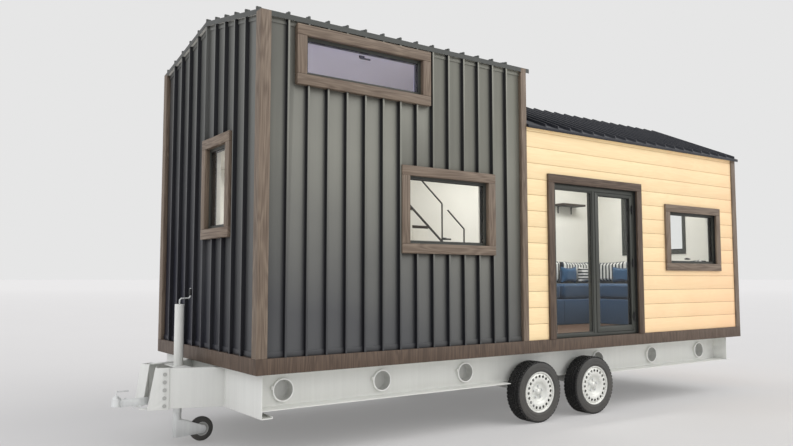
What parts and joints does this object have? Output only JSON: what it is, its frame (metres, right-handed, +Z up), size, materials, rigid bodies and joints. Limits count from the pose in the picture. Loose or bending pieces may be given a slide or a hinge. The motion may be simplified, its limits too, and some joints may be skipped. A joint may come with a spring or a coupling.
{
  "type": "tiny house on wheels",
  "caption": "Tiny house on a twin-axle trailer: dark ribbed tall end with a loft, pale boarded living end, glazed door, drawbar with coupling and jockey wheel.",
  "frame": {"origin": "on the ground, at the middle of the whole length from the coupling to the rear roof edge, on the centre line", "axes": "+X from the coupling towards the rear, +Y towards the plain long side, away from the door, +Z up"},
  "size_m": [7.855, 2.56, 4.002],
  "materials": {
    "white_steel": "pale grey-white paint, slightly chalky",
    "bare_steel": "zinc-plated, dull",
    "dark_steel": "black paint, satin",
    "tyre_rubber": "black rubber",
    "wheel_silver": "silver-white paint, satin",
    "hub_grey": "grey plastic",
    "black_plastic": "black plastic, satin",
    "brown_timber": "dark brown stain, fine grain",
    "floor_boards": "brown boards, satin lacquer",
    "lining_board": "painted lining boards",
    "pale_boards": "pale yellow softwood boards",
    "roof_sheet": "near-black folded sheet, satin",
    "wall_sheet": "dark grey-green folded sheet, satin",
    "frame_grey": "dark grey powder coat",
    "clear_glass": "clear double glazing",
    "white_board": "white paint, eggshell",
    "tread_timber": "dark stained timber",
    "blue_fabric": "slate blue woven cloth",
    "striped_fabric": "white woven cloth with black stripes",
    "pillow_fabric": "blue woven cloth, one pillow striped"
  },
  "bodies": {
    "root": {"front_crossmember": "white_steel", "cross_members": "white_steel", "side_rails": "white_steel", "drawbar_arms": "white_steel", "drawbar_gussets": "white_steel", "jockey_bracket": "white_steel", "coupling_tube": "bare_steel", "coupling_head": "bare_steel", "axles": "dark_steel", "jockey_tube": "bare_steel", "skirt": "brown_timber", "floor": "floor_boards", "tall_front_wall": "lining_board", "tall_back_wall": "lining_board", "hitch_end_wall": "lining_board", "step_wall": "lining_board", "living_wall_left": "pale_boards", "living_wall_head": "pale_boards", "living_wall_right": "pale_boards", "living_back_wall": "pale_boards", "rear_end_wall": "pale_boards", "tall_roof": "roof_sheet", "living_roof": "roof_sheet", "side_cladding": "wall_sheet", "end_cladding": "wall_sheet", "corner_posts": "brown_timber", "window_surrounds": "brown_timber", "door_surround": "brown_timber", "window_frames": "frame_grey", "window_glass": "clear_glass", "door_frame": "frame_grey", "door_hinges_fixed": "frame_grey", "loft_floor": "white_board", "stair": "white_board", "stair_treads": "tread_timber", "stair_rail": "dark_steel", "wall_shelf": "tread_timber", "sofa_base": "blue_fabric", "sofa_cushions": "blue_fabric", "back_cushions": "striped_fabric", "pillows": "pillow_fabric"},
    "door": {"door_leaf": "frame_grey", "door_glass": "clear_glass", "door_hinges_moving": "frame_grey", "door_handle": "black_plastic"},
    "wheel_front_near": {"tyre_front_near": "tyre_rubber", "rim_front_near": "wheel_silver"},
    "wheel_front_far": {"tyre_front_far": "tyre_rubber", "rim_front_far": "wheel_silver"},
    "wheel_rear_near": {"tyre_rear_near": "tyre_rubber", "rim_rear_near": "wheel_silver"},
    "wheel_rear_far": {"tyre_rear_far": "tyre_rubber", "rim_rear_far": "wheel_silver"},
    "jockey_leg": {"jockey_leg": "bare_steel"},
    "jockey_fork": {"jockey_fork": "bare_steel"},
    "jockey_wheel": {"jockey_tyre": "tyre_rubber", "jockey_hub": "hub_grey"},
    "crank": {"crank": "bare_steel", "crank_grip": "black_plastic"}
  },
  "joints": [
    {"name": "door_swing", "type": "hinge", "parent": "root", "child": "door", "pos_m": [1.674, -1.228, 1.682], "axis": [0, 0, 1], "range_deg": [0, 105]},
    {"name": "wheel_front_near_spin", "type": "hinge", "parent": "root", "child": "wheel_front_near", "pos_m": [0.0645, -1.1505, 0.315], "axis": [0, 1, 0], "continuous": true},
    {"name": "wheel_front_far_spin", "type": "hinge", "parent": "root", "child": "wheel_front_far", "pos_m": [0.0645, 1.1505, 0.315], "axis": [0, 1, 0], "continuous": true},
    {"name": "wheel_rear_near_spin", "type": "hinge", "parent": "root", "child": "wheel_rear_near", "pos_m": [0.9295, -1.1505, 0.315], "axis": [0, 1, 0], "continuous": true},
    {"name": "wheel_rear_far_spin", "type": "hinge", "parent": "root", "child": "wheel_rear_far", "pos_m": [0.9295, 1.1505, 0.315], "axis": [0, 1, 0], "continuous": true},
    {"name": "jockey_lift", "type": "slide", "parent": "root", "child": "jockey_leg", "axis": [0, 0, -1], "range_m": [0, 0.12]},
    {"name": "jockey_swivel", "type": "hinge", "parent": "jockey_leg", "child": "jockey_fork", "pos_m": [-3.3425, 0, 0.282], "axis": [0, 0, 1], "continuous": true},
    {"name": "jockey_roll", "type": "hinge", "parent": "jockey_fork", "child": "jockey_wheel", "pos_m": [-3.1145, 0, 0.11], "axis": [0, 1, 0], "continuous": true},
    {"name": "crank_turn", "type": "hinge", "parent": "root", "child": "crank", "pos_m": [-3.3425, 0, 1.26], "axis": [0, 0, 1], "continuous": true}
  ]
}
